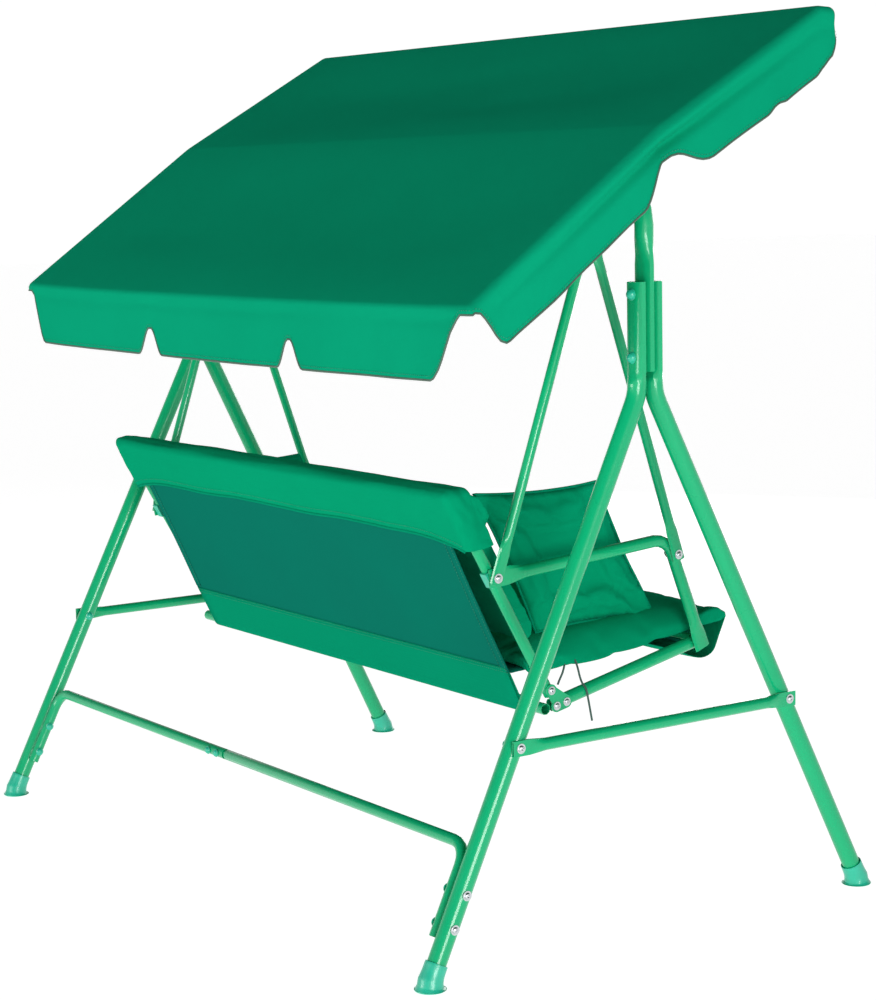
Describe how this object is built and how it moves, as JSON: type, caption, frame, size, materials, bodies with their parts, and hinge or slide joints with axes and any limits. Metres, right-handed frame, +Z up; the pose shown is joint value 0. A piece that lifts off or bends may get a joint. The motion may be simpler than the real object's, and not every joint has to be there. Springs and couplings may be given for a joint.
{
  "type": "glider swing",
  "caption": "Free-standing three-seat garden swing: splayed tube frame, hanging cushioned bench with armrests and a tilting fabric canopy.",
  "frame": {"origin": "on the floor under the middle of the swing", "axes": "+X to the sitter's left along the bench, +Y to the rear of the swing, +Z up"},
  "size_m": [1.7344, 1.06, 1.673],
  "materials": {
    "green_paint": "gloss",
    "green_plastic": "satin",
    "bolt_steel": "satin",
    "canopy_cloth": "matte",
    "cushion_cloth": "matte",
    "sling_mesh": "matte",
    "tie_tape": "matte"
  },
  "bodies": {
    "frame": {"leg_rear_left": "green_paint", "foot_cap_rear_left": "green_plastic", "leg_rear_right": "green_paint", "foot_cap_rear_right": "green_plastic", "leg_front_left": "green_paint", "foot_cap_front_left": "green_plastic", "leg_front_right": "green_paint", "foot_cap_front_right": "green_plastic", "side_spreader_left": "green_paint", "rear_crossbar_left": "green_paint", "top_beam_left": "green_paint", "leg_top_bolt_upper_left": "bolt_steel", "leg_top_bolt_lower_left": "bolt_steel", "hanger_bracket_left": "green_paint", "hanger_pivot_bolt_left": "bolt_steel", "canopy_clamp_left": "green_paint", "side_spreader_right": "green_paint", "rear_crossbar_right": "green_paint", "top_beam_right": "green_paint", "leg_top_bolt_upper_right": "bolt_steel", "leg_top_bolt_lower_right": "bolt_steel", "hanger_bracket_right": "green_paint", "hanger_pivot_bolt_right": "bolt_steel", "canopy_clamp_right": "green_paint"},
    "seat": {"swing_arm_rear_left": "green_paint", "swing_arm_front_left": "green_paint", "armrest_left": "green_paint", "seat_side_tube_left": "green_paint", "back_side_tube_left": "green_paint", "armrest_saddle_left": "green_plastic", "arm_bolt_rear_left": "bolt_steel", "arm_bolt_front_left": "bolt_steel", "corner_plate_left": "green_paint", "throw_pillow_left": "cushion_cloth", "cushion_tie_left": "tie_tape", "swing_arm_rear_right": "green_paint", "swing_arm_front_right": "green_paint", "armrest_right": "green_paint", "seat_side_tube_right": "green_paint", "back_side_tube_right": "green_paint", "armrest_saddle_right": "green_plastic", "arm_bolt_rear_right": "bolt_steel", "arm_bolt_front_right": "bolt_steel", "corner_plate_right": "green_paint", "throw_pillow_right": "cushion_cloth", "cushion_tie_right": "tie_tape", "back_top_tube": "green_paint", "seat_rear_tube": "green_paint", "seat_front_tube": "green_paint", "back_sling": "sling_mesh", "seat_sling": "sling_mesh", "seat_cushion": "cushion_cloth", "back_cushion": "cushion_cloth"},
    "canopy": {"canopy_fabric": "canopy_cloth", "canopy_frame_front": "green_paint", "canopy_frame_rear": "green_paint", "canopy_centre_tube": "green_paint"},
    "knob_left": {"canopy_knob_left": "green_plastic"},
    "knob_right": {"canopy_knob_right": "green_plastic"}
  },
  "joints": [
    {"name": "seat_swing", "type": "hinge", "parent": "frame", "child": "seat", "pos_m": [0, 0, 1.274], "axis": [1, 0, 0], "range_deg": [-20, 20]},
    {"name": "canopy_tilt", "type": "hinge", "parent": "frame", "child": "canopy", "pos_m": [0, 0, 1.437], "axis": [1, 0, 0], "range_deg": [0, 40]},
    {"name": "knob_left_turn", "type": "hinge", "parent": "frame", "child": "knob_left", "pos_m": [-0.56, -0.02, 1.435], "axis": [0, -1, 0], "range_deg": [0, 180]},
    {"name": "knob_right_turn", "type": "hinge", "parent": "frame", "child": "knob_right", "pos_m": [0.56, -0.02, 1.435], "axis": [0, -1, 0], "range_deg": [0, 180]}
  ]
}
